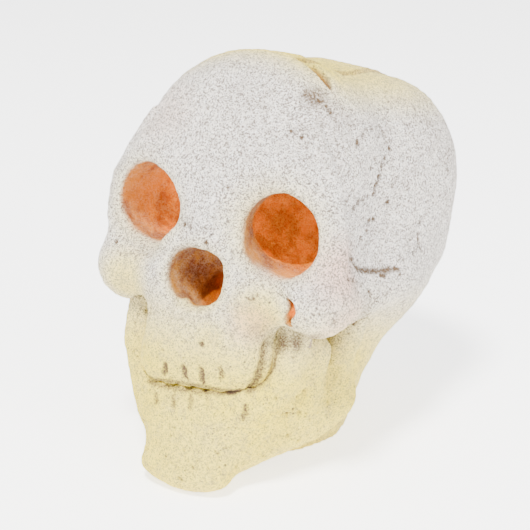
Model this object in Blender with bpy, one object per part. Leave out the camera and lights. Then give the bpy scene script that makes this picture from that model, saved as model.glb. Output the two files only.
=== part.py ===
"""A hollow cast-ceramic skull for a gas fire pit.

Three cast sections make the braincase and face, and a fourth is the lower jaw. Mortar fills the
joints, and steel rods and dowels bedded in the joints tie the sections together. Each shape is
worked out in the head's own frame, in millimetres, with +X to the skull's left, +Y to its back and
+Z up through its crown, and the whole head is then leant back as it stands.
"""

import math

import bmesh
import bpy
import numpy as np
import openvdb
from mathutils import Matrix, Vector

MM = 0.001

# How the head stands
LEAN_BACK = math.radians(13.0)  # so the chin and the rim of the neck share one level
FLOOR_LEVEL = -127.0  # the ground under the leant head
MIDDLE_Y = 69.1  # middle of the leant head, front to back

FOOT_ALLOWANCE = 2.0  # cast this much deeper, then ground flat

# The cast wall and its joints
WALL = 13.0
JOINT = 2.4
GAP = 0.3  # between pieces that touch
MORTAR_RECESS = 1.4  # mortar stands this far below the surface
MOUTH_TOP = -77.0  # flat under the upper teeth
MOUTH_BOTTOM = -79.2  # flat on the lower jaw
MOUTH_TILT = 0.1  # rise of both flats for each millimetre to the left
MOUTH_LEVEL_X = 20.0  # where they have the heights above
JAW_CLEARANCE = 1.2  # between the jaw and the sections it is bonded to
CROWN_JOINT_X = 14.0  # the joint along the crown, left of the middle
CROWN_JOINT_SLANT = 0.2  # how much further left it lies for each millimetre back
CROWN_JOINT_START = 38.0  # distance back at which it has the place above
CORONAL_Y = 29.5  # the joint across the crown, at the temples
CORONAL_BOW = 10.0  # and how far back it bows on top
CORONAL_HALF_BOW = 42.0
THROAT_BACK = 78.0  # the joint under the braincase, in front of the neck's opening
THROAT_TOP = 0.0

# Steel
ROD_RADIUS = 2.0
ROD_DEPTH = 6.5  # its middle, under the outer surface
ROD_POINTS = 17
CORONAL_ROD_HUB = 10.0  # height of the point that the rod across the crown arches over
CORONAL_ROD_ENDS = (-1.25, 1.25)  # angles from straight up, towards the skull's left
CROWN_ROD_HUB = 92.0  # how far back the point lies that the rod along the crown arches over
CROWN_ROD_ENDS = (-0.38, 1.9)  # angles from straight up, towards the back
DOWEL_RADIUS = 3.0
DOWEL_PLACE = (43.0, 21.0)
DOWEL_ENDS = (-62.0, -36.0)
SLEEVE_RADIUS = 5.4
SLEEVE_ENDS = (-55.0, -42.0)

# Openings of the face: the middle and radii of each
LEFT_SOCKET = ((35.3, 10, -4.6), (17.6, 46, 19.3))
RIGHT_SOCKET = ((32.9, 10, 0.6), (18.8, 46, 18.6))
SOCKET_YAW = math.radians(4)
NOSE = ((-1.6, -4, -28.7), (14.3, 24, 13))

# Sampling of the cast shapes
STEP = 3.0
SECTION_DETAIL = 0.11  # share of the sampled triangles that each shape keeps
JAW_DETAIL = 0.17
SHRUNK_HEAD_DETAIL = 0.08
LOW_CORNER = (-78.0, -30.0, -141.0)
HIGH_CORNER = (78.0, 186.0, 93.0)
FAR = 300.0  # past the head on any side


# --- Distances, in millimetres, negative inside ---


def blend(a, b, reach):
    """The union of two shapes with a fillet of about this reach."""
    overlap = np.maximum(reach - np.abs(a - b), 0.0) / reach
    return np.minimum(a, b) - overlap * overlap * reach * 0.25


def carve(solid, tool, reach):
    """The first shape less the second, with the edge eased."""
    return -blend(-solid, tool, reach)


def ellipsoid(place, centre, radii, yaw=0.0, power=2.0):
    """An ellipsoid, or a squarer one for a power above 2, turned about the vertical by yaw."""
    x, y, z = (value - middle for value, middle in zip(place, centre))
    turn, slide = math.cos(yaw), math.sin(yaw)
    x, y = turn * x + slide * y, turn * y - slide * x
    scaled = [np.abs(value / radius) for value, radius in zip((x, y, z), radii)]
    size = sum(value**power for value in scaled) ** (1.0 / power)
    slope = np.sqrt(sum((value / radius) ** 2 for value, radius in zip(scaled, radii)))
    return size * (size - 1.0) / np.maximum(slope, 1e-6)


def limb(place, points, radii):
    """A chain of tapering round bars through the points."""
    found = None
    for start, end, start_radius, end_radius in zip(points, points[1:], radii, radii[1:]):
        run = [b - a for a, b in zip(start, end)]
        length = sum(value * value for value in run)
        along = sum((p - a) * r for p, a, r in zip(place, start, run)) / length
        along = np.clip(along, 0.0, 1.0)
        away = np.sqrt(sum((p - a - along * r) ** 2 for p, a, r in zip(place, start, run)))
        bar = away - start_radius - along * (end_radius - start_radius)
        found = bar if found is None else np.minimum(found, bar)
    return found


# --- The shapes of the head ---


def braincase(place):
    vault = ellipsoid(place, (0, 94, 5), (66, 80, 69))
    forehead = ellipsoid(place, (0, 46, 16), (59, 50, 60), power=2.2)
    side_bulge = ellipsoid(place, (32, 106, 20), (39, 46, 48))
    back_bulge = ellipsoid(place, (0, 124, -14), (62, 48, 42))
    ear_region = ellipsoid(place, (42, 88, -22), (26, 40, 34))
    shape = blend(vault, forehead, 10)
    shape = blend(shape, side_bulge, 14)
    shape = blend(shape, back_bulge, 16)
    return blend(shape, ear_region, 12)


def neck(place, inset=0.0):
    route = [(0, 104, -30), (0, 89, -78), (0, 79, -140)]
    return limb(place, route, [radius - inset for radius in (55, 42, 34)])


def tilted(place, side):
    """The place with the tilt of the tooth line taken out."""
    return (place[0], place[1], place[2] - MOUTH_TILT * (side - MOUTH_LEVEL_X))


def face(place, side):
    brow_route = [(0, 6, 12), (20, 4, 22), (38, 8, 24), (50, 12, 8), (53, 14, -10), (51, 16, -28)]
    shape = limb(place, brow_route, [10, 9, 9, 9, 9, 10])
    shape = blend(shape, ellipsoid(place, (50, 20, -33), (13.5, 17, 16)), 8)
    cheek_arch = [(52, 22, -34), (59, 50, -32), (62, 78, -26), (58, 98, -20)]
    shape = blend(shape, limb(place, cheek_arch, [12, 9, 8, 8]), 10)
    shape = blend(shape, ellipsoid(place, (36, 44, -14), (24, 34, 34)), 14)
    nose_bridge = [(0, 6, 4), (0, 3, -8), (0, 2, -14)]
    shape = blend(shape, limb(place, nose_bridge, [10, 9, 9]), 12)
    socket_floor = [(17, 4, -16), (20, 4, -30), (36, 8, -34), (50, 12, -32)]
    shape = blend(shape, limb(place, socket_floor, [9, 9, 9, 10]), 10)
    shape = blend(shape, ellipsoid(place, (0, 24, -52), (33.5, 30, 34), power=3), 9)
    row = tilted(place, side)
    gum = [(0, 6, -68), (14, 7, -68), (22, 13, -68), (23, 34, -68)]
    shape = blend(shape, limb(row, gum, [11.5, 11.5, 11.5, 11]), 8)
    return np.maximum(shape, MOUTH_TOP - row[2])


def hollow(place):
    """The inside of the braincase, open through the neck."""
    return blend(braincase(place) + WALL, neck(place, inset=WALL), 10)


def sockets_and_nose(place, side):
    """The eye sockets, the skull's left one lower and narrower than the right, and the nose."""
    left = ellipsoid(place, *LEFT_SOCKET, yaw=SOCKET_YAW)
    right = ellipsoid(place, *RIGHT_SOCKET, yaw=SOCKET_YAW)
    whole = (side, place[1], place[2])
    nose = ellipsoid(whole, *NOSE, power=2.4)
    passage = limb(whole, [(-0.5, 10, -36.5), (0, 62, -44)], [8.2, 12])
    return np.minimum(np.where(side > 0.0, left, right), blend(nose, passage, 4))


def under_ground(place):
    """How far a place lies under the ground on which the leant head stands."""
    height = math.cos(LEAN_BACK) * place[2] - math.sin(LEAN_BACK) * place[1]
    return FLOOR_LEVEL - height


def upper_head(place, inset=0.0):
    """Everything but the lower jaw. An inset shrinks the outside and leaves the hollow as it is."""
    side = place[0]
    place = (np.abs(place[0]), place[1], place[2])
    outside = blend(blend(braincase(place), neck(place), 16), face(place, side), 9) + inset
    shape = carve(outside, hollow(place), 3)
    shape = carve(shape, sockets_and_nose(place, side) - inset, 4)
    return np.maximum(shape, under_ground(place) + (inset or -FOOT_ALLOWANCE))


def jaw(place):
    """The lower jaw, clear of the sections it is bonded to."""
    upper = upper_head(place)
    side = place[0]
    place = (np.abs(place[0]), place[1], place[2])
    row = tilted(place, side)
    body = limb(place, [(0, 8, -104), (12, 10, -104), (22, 22, -102), (36, 48, -94), (44, 60, -84)],
                [13, 13, 12, 12, 11])
    lower_edge = limb(place, [(0, 9, -115), (12, 11, -114), (22, 26, -106), (38, 50, -94)],
                      [12, 11, 10, 9])
    teeth_edge = limb(row, [(0, 6.5, -89), (13, 7.5, -89), (22, 15, -90), (29, 29, -88)],
                      [11, 11, 10.5, 10])
    lower_gum = limb(row, [(0, 6, -85), (13, 7, -85), (22, 13, -85), (25, 27, -85)],
                     [11, 11, 11, 10])
    shape = blend(blend(body, lower_edge, 8), blend(teeth_edge, lower_gum, 4), 8)
    shape = blend(shape, ellipsoid(place, (0, 3, -121), (23, 10, 9)), 8)
    shape = np.maximum(shape, row[2] - MOUTH_BOTTOM)
    front = limb(place, [(24, 16, -94), (31, 13, -82), (39, 17, -68), (41, 20, -48)], [9, 9, 9, 8])
    middle = limb(place, [(40, 34, -84), (43, 36, -60)], [9, 8])
    rear = limb(place, [(44, 54, -84), (47, 58, -60), (49, 66, -40)], [9, 8, 7])
    branch = blend(blend(front, rear, 20), middle, 10)
    shape = np.maximum(blend(shape, branch, 10), under_ground(place) - FOOT_ALLOWANCE)
    return carve(shape, upper - JAW_CLEARANCE, 1)


# --- Building objects ---


def clear_scene():
    for old in list(bpy.data.objects):
        bpy.data.objects.remove(old, do_unlink=True)


def material(name, colour, roughness, metallic=0.0):
    made = bpy.data.materials.new(name)
    made.use_nodes = True
    shader = made.node_tree.nodes["Principled BSDF"]
    shader.inputs["Base Color"].default_value = (*colour, 1.0)
    shader.inputs["Roughness"].default_value = roughness
    shader.inputs["Metallic"].default_value = metallic
    return made


def add_object(name, mesh, parent, surface=None):
    made = bpy.data.objects.new(name, mesh)
    bpy.context.collection.objects.link(made)
    made.parent = parent
    if surface:
        mesh.materials.append(surface)
    return made


def hide(tool):
    """Makes an object a cutter: a wire in the viewport, and no part of the skull."""
    tool.hide_render = True
    tool.display_type = "WIRE"
    return tool


def field_mesh(name, field):
    """The skin of a field, sampled over the head."""
    counts = [int((high - low) / STEP) + 1 for low, high in zip(LOW_CORNER, HIGH_CORNER)]
    lines = [low + STEP * np.arange(count) for low, count in zip(LOW_CORNER, counts)]
    values = field(tuple(np.meshgrid(*lines, indexing="ij")))
    band = 3.0 * STEP
    grid = openvdb.FloatGrid(band)
    grid.copyFromArray(np.clip(values, -band, band).astype(np.float32))
    points, quads = grid.convertToQuads(isovalue=0.0)
    points = (np.array(LOW_CORNER) + STEP * points) * MM
    mesh = bpy.data.meshes.new(name)
    mesh.from_pydata(points.tolist(), [], quads.tolist())
    mesh.shade_smooth()
    return mesh


def prism(name, outline, low, high):
    """A closed outline in plan, in millimetres, drawn up from one height to another."""
    shape = bmesh.new()
    corners = [shape.verts.new((x * MM, y * MM, low * MM)) for x, y in outline]
    base = shape.faces.new(corners)
    drawn = bmesh.ops.extrude_face_region(shape, geom=[base])
    moved = [item for item in drawn["geom"] if isinstance(item, bmesh.types.BMVert)]
    bmesh.ops.translate(shape, verts=moved, vec=(0.0, 0.0, (high - low) * MM))
    bmesh.ops.recalc_face_normals(shape, faces=shape.faces)
    mesh = bpy.data.meshes.new(name)
    shape.to_mesh(mesh)
    shape.free()
    return mesh


def box(name, x_range, y_range, z_range):
    (left, right), (front, back) = x_range, y_range
    outline = [(left, front), (right, front), (right, back), (left, back)]
    return prism(name, outline, *z_range)


def post(name, radius, ends, sides=24):
    """An upright round bar between two heights, at the origin."""
    angles = [2.0 * math.pi * index / sides for index in range(sides)]
    outline = [(radius * math.cos(angle), radius * math.sin(angle)) for angle in angles]
    return prism(name, outline, *ends)


def tube(name, route, radius, sides=10):
    """A round bar along a route of points in millimetres, closed at both ends."""
    shape = bmesh.new()
    rings = []
    for index, centre in enumerate(route):
        before = route[max(index - 1, 0)]
        after = route[min(index + 1, len(route) - 1)]
        forward = (after - before).normalized()
        across = forward.orthogonal() if not rings else forward.cross(upright).normalized()
        upright = across.cross(forward).normalized()
        ring = []
        for side in range(sides):
            angle = 2.0 * math.pi * side / sides
            offset = across * math.cos(angle) + upright * math.sin(angle)
            ring.append(shape.verts.new((centre + offset * radius) * MM))
        rings.append(ring)
    for ring, following in zip(rings, rings[1:]):
        for side in range(sides):
            nearby = (side + 1) % sides
            shape.faces.new((ring[side], ring[nearby], following[nearby], following[side]))
    shape.faces.new(rings[0])
    shape.faces.new(rings[-1])
    bmesh.ops.recalc_face_normals(shape, faces=shape.faces)
    mesh = bpy.data.meshes.new(name)
    shape.to_mesh(mesh)
    shape.free()
    for polygon in mesh.polygons:
        polygon.use_smooth = len(polygon.vertices) == 4
    return mesh


def boolean(target, operation, tool):
    change = target.modifiers.new(tool.name, "BOOLEAN")
    change.operation = operation
    change.object = tool
    change.solver = "EXACT"


def thin_out(target, ratio):
    change = target.modifiers.new("Thin out", "DECIMATE")
    change.ratio = ratio


# --- Joints ---


def coronal_line(x):
    """Where the joint across the crown lies, front to back, at a distance from the middle."""
    return CORONAL_Y + CORONAL_BOW * max(0.0, 1.0 - (x / CORONAL_HALF_BOW) ** 2)


def coronal_edge(offset):
    """The joint's line in plan, moved back by the offset, from the skull's right to its left."""
    places = [-FAR] + list(np.linspace(-CORONAL_HALF_BOW, CORONAL_HALF_BOW, 15)) + [FAR]
    return [(x, coronal_line(x) + offset) for x in places]


def crown_line(y):
    """Where the joint along the crown lies, left of the middle, at a distance back."""
    return CROWN_JOINT_X + CROWN_JOINT_SLANT * (y - CROWN_JOINT_START)


def crown_edge(offset, front=-FAR, back=FAR):
    """The joint's line in plan, moved to the left by the offset, from front to back."""
    return [(crown_line(y) + offset, y) for y in (front, back)]


def depth_route(ends, point_at):
    """Points at the rods' depth in the wall, one along each ray from point_at(angle, distance)."""
    route = []
    for angle in np.linspace(*ends, ROD_POINTS):
        inner, outer = 10.0, 130.0  # distances surely inside and surely outside the skull
        while outer - inner > 0.01:
            middle = 0.5 * (inner + outer)
            place = point_at(angle, middle)
            depth = braincase((abs(place[0]), place[1], place[2]))
            if depth > -ROD_DEPTH:
                outer = middle
            else:
                inner = middle
        route.append(Vector(point_at(angle, inner)))
    return route


def coronal_point(angle, distance):
    x = distance * math.sin(angle)
    return (x, coronal_line(x), CORONAL_ROD_HUB + distance * math.cos(angle))


def crown_point(angle, distance):
    y = CROWN_ROD_HUB + distance * math.sin(angle)
    return (crown_line(y), y, distance * math.cos(angle))


def tooth_line_outline(grown=0.0):
    """A ribbon along the tooth arch: a straight front, two rounded corners and two sides."""
    corner_x, corner_y = 16.0, 13.5
    outer_radius, inner_radius = 12.0 + grown, 3.0 - grown
    back_y = 32.0 + grown
    turns = np.linspace(0.0, 0.5 * math.pi, 9)
    left = [(corner_x + outer_radius * math.sin(turn), corner_y - outer_radius * math.cos(turn))
            for turn in turns]
    left += [(corner_x + outer_radius, back_y), (corner_x + inner_radius, back_y)]
    left += [(corner_x + inner_radius * math.sin(turn), corner_y - inner_radius * math.cos(turn))
             for turn in turns[::-1]]
    return left + [(-x, y) for x, y in reversed(left)]


# --- The skull ---


def build():
    clear_scene()
    ceramic = material("Fired ceramic", (0.74, 0.71, 0.66), 0.92)
    mortar = material("Refractory mortar", (0.52, 0.48, 0.42), 0.95)
    steel = material("Steel", (0.30, 0.28, 0.27), 0.45, metallic=1.0)

    head = bpy.data.objects.new("skull", None)
    bpy.context.collection.objects.link(head)
    head.rotation_euler = (-LEAN_BACK, 0.0, 0.0)
    head.location = (0.0, -MIDDLE_Y * MM, -FLOOR_LEVEL * MM)

    # Cutters
    half = 0.5 * JOINT
    thin = half - GAP
    front_of_joint = hide(add_object(
        "front_of_joint",
        prism("front_of_joint", [(-FAR, -FAR)] + coronal_edge(half) + [(FAR, -FAR)], -FAR, FAR), head))
    behind_joint = hide(add_object(
        "behind_joint",
        prism("behind_joint", [(-FAR, FAR)] + coronal_edge(-half) + [(FAR, FAR)], -FAR, FAR), head))
    right_of_crown = hide(add_object(
        "right_of_crown",
        prism("right_of_crown", [(-FAR, -FAR)] + crown_edge(half) + [(-FAR, FAR)], -FAR, FAR), head))
    left_of_crown = hide(add_object(
        "left_of_crown",
        prism("left_of_crown", [(FAR, -FAR)] + crown_edge(-half) + [(FAR, FAR)], -FAR, FAR), head))
    shrunk_head = hide(add_object(
        "shrunk_head",
        field_mesh("shrunk_head", lambda place: upper_head(place, inset=MORTAR_RECESS)), head))
    thin_out(shrunk_head, SHRUNK_HEAD_DETAIL)

    coronal_route = depth_route(CORONAL_ROD_ENDS, coronal_point)
    crown_route = depth_route(CROWN_ROD_ENDS, crown_point)
    rods = {}
    channels = {}
    for name, route in (("coronal_rod", coronal_route), ("crown_rod", crown_route)):
        rods[name] = add_object(name, tube(name, route, ROD_RADIUS), head, steel)
        lead = (route[0] - route[1]).normalized() * GAP
        tail = (route[-1] - route[-2]).normalized() * GAP
        longer = [route[0] + lead] + route[1:-1] + [route[-1] + tail]
        channel_name = name + "_channel"
        channel = tube(channel_name, longer, ROD_RADIUS + GAP)
        channels[name] = hide(add_object(channel_name, channel, head))

    # Cast sections
    upper_mesh = field_mesh("upper_head", upper_head)
    upper_mesh.materials.append(ceramic)
    sections = {
        "face_casting": (behind_joint,),
        "left_rear_casting": (front_of_joint, right_of_crown),
        "right_rear_casting": (front_of_joint, left_of_crown),
    }
    castings = {}
    for name, cutters in sections.items():
        casting = add_object(name, upper_mesh.copy(), head)
        thin_out(casting, SECTION_DETAIL)
        for cutter in cutters:
            boolean(casting, "DIFFERENCE", cutter)
        castings[name] = casting
    for name in sections:
        boolean(castings[name], "DIFFERENCE", channels["coronal_rod"])
    for name in ("left_rear_casting", "right_rear_casting"):
        boolean(castings[name], "DIFFERENCE", channels["crown_rod"])
    lower_jaw = add_object("lower_jaw_casting", field_mesh("lower_jaw_casting", jaw), head, ceramic)
    thin_out(lower_jaw, JAW_DETAIL)

    ground = hide(add_object(
        "ground", box("ground", (-FAR, FAR), (-FAR, FAR), (-FAR, 0.0)), None))
    for casting in (castings["left_rear_casting"], castings["right_rear_casting"], lower_jaw):
        boolean(casting, "DIFFERENCE", ground)

    # Mortar in the joints of the braincase
    coronal_outline = coronal_edge(-thin) + coronal_edge(thin)[::-1]
    coronal_mortar = add_object(
        "coronal_mortar", prism("coronal_mortar", coronal_outline, -FAR, FAR), head, mortar)
    boolean(coronal_mortar, "INTERSECT", shrunk_head)
    boolean(coronal_mortar, "DIFFERENCE", channels["coronal_rod"])
    throat = hide(add_object(
        "throat", box("throat", (-FAR, FAR), (-FAR, THROAT_BACK), (-FAR, THROAT_TOP)), head))
    crown_outline = crown_edge(-thin) + crown_edge(thin)[::-1]
    crown_mortar = add_object(
        "crown_mortar", prism("crown_mortar", crown_outline, -FAR, FAR), head, mortar)
    throat_outline = crown_edge(-thin, 0.0, THROAT_BACK) + crown_edge(thin, 0.0, THROAT_BACK)[::-1]
    throat_mortar = add_object(
        "throat_mortar", prism("throat_mortar", throat_outline, -FAR, THROAT_TOP), head, mortar)
    boolean(crown_mortar, "DIFFERENCE", throat)
    for filling in (crown_mortar, throat_mortar):
        boolean(filling, "DIFFERENCE", front_of_joint)
        boolean(filling, "INTERSECT", shrunk_head)
    for channel in channels.values():
        boolean(crown_mortar, "DIFFERENCE", channel)

    # Mortar between the teeth
    top, bottom = MOUTH_TOP - GAP, MOUTH_BOTTOM + GAP
    mouth_mesh = prism("tooth_line_mortar", tooth_line_outline(), bottom, top)
    bed_mesh = prism("tooth_line_bed", tooth_line_outline(GAP), MOUTH_BOTTOM, MOUTH_TOP)
    tilt = Matrix.Identity(4)
    tilt[2][0] = MOUTH_TILT
    tilt[2][3] = -MOUTH_TILT * MOUTH_LEVEL_X * MM
    for mesh in (mouth_mesh, bed_mesh):
        mesh.transform(tilt)
    add_object("tooth_line_mortar", mouth_mesh, head, mortar)
    boolean(lower_jaw, "DIFFERENCE", hide(add_object("tooth_line_bed", bed_mesh, head)))

    # Dowels in mortar sleeves, from the jaw's upright branches into the cheeks
    for side, sign in (("left", 1.0), ("right", -1.0)):
        foot = (sign * DOWEL_PLACE[0] * MM, DOWEL_PLACE[1] * MM, 0.0)
        name = side + "_jaw_dowel"
        dowel = add_object(name, post(name, DOWEL_RADIUS, DOWEL_ENDS), head, steel)
        dowel.location = foot
        longer_ends = (DOWEL_ENDS[0] - GAP, DOWEL_ENDS[1] + GAP)
        bore = hide(add_object(
            side + "_bore", post(side + "_bore", DOWEL_RADIUS + GAP, longer_ends), head))
        bore.location = foot
        pocket_ends = (SLEEVE_ENDS[0] - GAP, SLEEVE_ENDS[1] + GAP)
        pocket = hide(add_object(
            side + "_pocket", post(side + "_pocket", SLEEVE_RADIUS + GAP, pocket_ends), head))
        pocket.location = foot
        name = side + "_jaw_mortar"
        sleeve = add_object(name, post(name, SLEEVE_RADIUS, SLEEVE_ENDS), head, mortar)
        sleeve.location = foot
        boolean(sleeve, "DIFFERENCE", bore)
        for casting in (castings["face_casting"], lower_jaw):
            boolean(casting, "DIFFERENCE", bore)
            boolean(casting, "DIFFERENCE", pocket)


build()
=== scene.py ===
"""The looks of a hollow cast-ceramic skull for a gas fire pit.

The castings are worked out again as distance fields, as in the CAD model, and now carry the teeth,
creases, open crack, pits and grit of the cast surface. They are cut along the CAD model's joints,
and each stands for its CAD node. Places in the fields are millimetres in the head's own frame, with
+X to the skull's left, +Y to its back and +Z up through its crown.
"""

import itertools
import math

import bmesh
import bpy
import numpy as np
import openvdb
from mathutils import Matrix, Vector


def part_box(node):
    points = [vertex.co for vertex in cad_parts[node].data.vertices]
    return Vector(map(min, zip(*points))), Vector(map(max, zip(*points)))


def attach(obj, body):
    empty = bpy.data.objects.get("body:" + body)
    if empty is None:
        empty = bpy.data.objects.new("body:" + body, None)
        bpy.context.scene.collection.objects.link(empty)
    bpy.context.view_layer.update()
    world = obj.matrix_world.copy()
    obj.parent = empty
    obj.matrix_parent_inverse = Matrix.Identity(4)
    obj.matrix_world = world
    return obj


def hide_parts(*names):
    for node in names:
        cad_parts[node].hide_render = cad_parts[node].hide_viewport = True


MM = 0.001
BODY = "root"

# The head, as in the CAD model
LEAN_BACK = math.radians(13.0)
WALL = 13.0
MOUTH_TOP = -77.0
MOUTH_BOTTOM = -79.2
MOUTH_TILT = 0.1
MOUTH_LEVEL_X = 20.0
LEFT_SOCKET = ((35.3, 10, -4.6), (17.6, 46, 19.3))
RIGHT_SOCKET = ((32.9, 10, 0.6), (18.8, 46, 18.6))
SOCKET_YAW = math.radians(4)
NOSE = ((-1.6, -4, -28.7), (14.3, 24, 13))
CROWN_JOINT_X = 14.0
CROWN_JOINT_SLANT = 0.2
CROWN_JOINT_START = 38.0
CORONAL_Y = 29.5
CORONAL_BOW = 10.0
CORONAL_HALF_BOW = 42.0
GROUND_LEVEL = -127.0
ROD_RADIUS = 2.0
ROD_DEPTH = 6.5
ROD_POINTS = 17
CORONAL_ROD_HUB = 10.0
CORONAL_ROD_ENDS = (-1.25, 1.25)
CROWN_ROD_HUB = 92.0
CROWN_ROD_ENDS = (-0.38, 1.9)
DOWEL_RADIUS = 3.0
DOWEL_PLACE = (43.0, 21.0)
DOWEL_ENDS = (-62.0, -36.0)
SLEEVE_RADIUS = 5.4
SLEEVE_ENDS = (-55.0, -42.0)
GAP = 0.3  # round the rods and dowels
THROAT_BACK = 78.0
THROAT_TOP = 0.0

# How the finished pieces meet, in millimetres
HALF_JOINT = 1.1  # from a joint's middle to the casting on either side
SEAM = 0.06  # from the mortar to the castings
MORTAR_SINK = 0.1  # from the castings' skin down to the mortar's
MOUTH_LIP = 1.6  # how far face and jaw reach over the mortar between the teeth, which closes it
JAW_BITE = 0.8  # how far the jaw reaches into the cheeks, which closes their seam
EDGE = 0.2  # easing of the edges of beds and bores

# Sampling
STEP = 1.0
COARSE = 4  # fine steps in a coarse one
COARSE_MARGIN = 1.35  # coarse steps from the surface within which the fine values are worked out
LOW_CORNER = (-80.0, -32.0, -144.0)
HIGH_CORNER = (80.0, 184.0, 92.0)
FAR = 300.0
DETAIL_MARGIN = 6.0  # how far round a small detail its field is worked out
NOISE_CORNERS = 64  # random values along each side of the noise's repeating cube

# The crown's joint lies open for a stretch, between steps in the skin beside it
CRACK_BEHIND = 0.8
CRACK_HALF_WIDTH = 2.7
CRACK_DEPTH = 5.5
CRACK_FLOOR = 20.0  # nothing is opened below this height
REAR_SINKS = 1.1  # behind the joint, near the middle
REAR_RISES = 1.6  # behind the joint, beside the crack
LEFT_SINKS = 1.5  # left of the joint along the crown

# Camera
CAMERA_PLACE = (0.3255, -0.5904, 0.3296)
CAMERA_AZIMUTH = math.radians(29.6)
CAMERA_ELEVATION = math.radians(20.3)
CAMERA_LENS = 97.2
CAMERA_SENSOR = 36.0

# Studio light: name, place, size in metres, watts and colour
STUDIO_LIGHTS = (
    ("key", (0.1, -0.75, 1.75), 0.4, 90.0, (1.0, 0.99, 0.97)),
    ("fill", (1.6, -0.5, 0.8), 0.8, 22.0, (0.98, 0.98, 1.0)),
)
LIGHTS_AIM = (0.0, 0.0, 0.1)
WHITE = (1.0, 1.0, 1.0, 1.0)
SURROUNDINGS = 1.2
FLOOR_HALF_SIDE = 4.0
FLOOR_WHITE = (0.97, 0.97, 0.97, 1.0)
FLOOR_GLOW = 2.2

# The warm light of a burner inside the skull: name, place in the head and watts
WARM_GLOW = (1.0, 0.42, 0.04)
WARM_LAMP_RADIUS = 1.0
WARM_LIGHTS = (
    ("glow_hollow", (0, 75, 0), 0.6),
    ("glow_left_socket", (34, 30, -14), 0.012),
    ("glow_right_socket", (-34, 30, -10), 0.012),
    ("glow_nose", (-2, 10, -30), 0.002),
    ("glow_slit", (45, 8, -36), 0.005),
)


# --- Distances, in millimetres, negative inside ---


def blend(a, b, reach):
    """The union of two shapes with a fillet of about this reach."""
    overlap = np.maximum(reach - np.abs(a - b), 0.0) / reach
    return np.minimum(a, b) - overlap * overlap * reach * 0.25


def carve(solid, tool, reach):
    """The first shape less the second, with the edge eased."""
    return -blend(-solid, tool, reach)


def ellipsoid(place, centre, radii, yaw=0.0, power=2.0):
    """An ellipsoid, or a squarer one for a power above 2, turned about the vertical by yaw."""
    x, y, z = (value - middle for value, middle in zip(place, centre))
    turn, slide = math.cos(yaw), math.sin(yaw)
    x, y = turn * x + slide * y, turn * y - slide * x
    scaled = [np.abs(value / radius) for value, radius in zip((x, y, z), radii)]
    size = sum(value**power for value in scaled) ** (1.0 / power)
    slope = np.sqrt(sum((value / radius) ** 2 for value, radius in zip(scaled, radii)))
    return size * (size - 1.0) / np.maximum(slope, 1e-6)


def limb(place, points, radii):
    """A chain of tapering round bars through the points."""
    found = None
    for start, end, start_radius, end_radius in zip(points, points[1:], radii, radii[1:]):
        run = [b - a for a, b in zip(start, end)]
        length = sum(value * value for value in run)
        along = sum((p - a) * r for p, a, r in zip(place, start, run)) / length
        along = np.clip(along, 0.0, 1.0)
        away = np.sqrt(sum((p - a - along * r) ** 2 for p, a, r in zip(place, start, run)))
        bar = away - start_radius - along * (end_radius - start_radius)
        found = bar if found is None else np.minimum(found, bar)
    return found


def folded(place):
    """The place, or its mirror image, on the skull's left side."""
    return (np.abs(place[0]), place[1], place[2])


def near_route(place, points, margin):
    """Which places lie in the box round a route."""
    low = np.min(points, axis=0) - margin
    high = np.max(points, axis=0) + margin
    inside = np.ones(place[0].shape, bool)
    for value, least, most in zip(place, low, high):
        inside &= (value > least) & (value < most)
    return np.flatnonzero(inside)


def groove(shape, place, points, radii, reach=1.2):
    """Cuts a groove along a route into a shape, worked out only near the route."""
    near = near_route(place, points, max(radii) + 2.0 * reach + 1.0)
    local = tuple(value[near] for value in place)
    shape[near] = carve(shape[near], limb(local, points, radii), reach)


def ridge(shape, place, points, radii, reach):
    """Raises a rounded ridge along a route, worked out only near the route."""
    near = near_route(place, points, max(radii) + 2.0 * reach + 1.0)
    local = tuple(value[near] for value in place)
    shape[near] = blend(shape[near], limb(local, points, radii), reach)


# --- The shapes of the head ---


def braincase(place):
    """The rounded rear of the head, down to the ears."""
    vault = ellipsoid(place, (0, 94, 5), (66, 80, 69))
    forehead = ellipsoid(place, (0, 46, 16), (59, 50, 60), power=2.2)
    side_bulge = ellipsoid(place, (32, 106, 20), (39, 46, 48))
    back_bulge = ellipsoid(place, (0, 124, -14), (62, 48, 42))
    ear_region = ellipsoid(place, (42, 88, -22), (26, 40, 34))
    shape = blend(vault, forehead, 10)
    shape = blend(shape, side_bulge, 14)
    shape = blend(shape, back_bulge, 16)
    return blend(shape, ear_region, 12)


def neck(place, inset=0.0):
    """The stump of the neck, or its inside where it is inset."""
    route = [(0, 104, -30), (0, 89, -78), (0, 79, -140)]
    return limb(place, route, [radius - inset for radius in (55, 42, 34)])


def tilted(place, side):
    """The place with the tilt of the tooth line taken out."""
    return (place[0], place[1], place[2] - MOUTH_TILT * (side - MOUTH_LEVEL_X))


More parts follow.
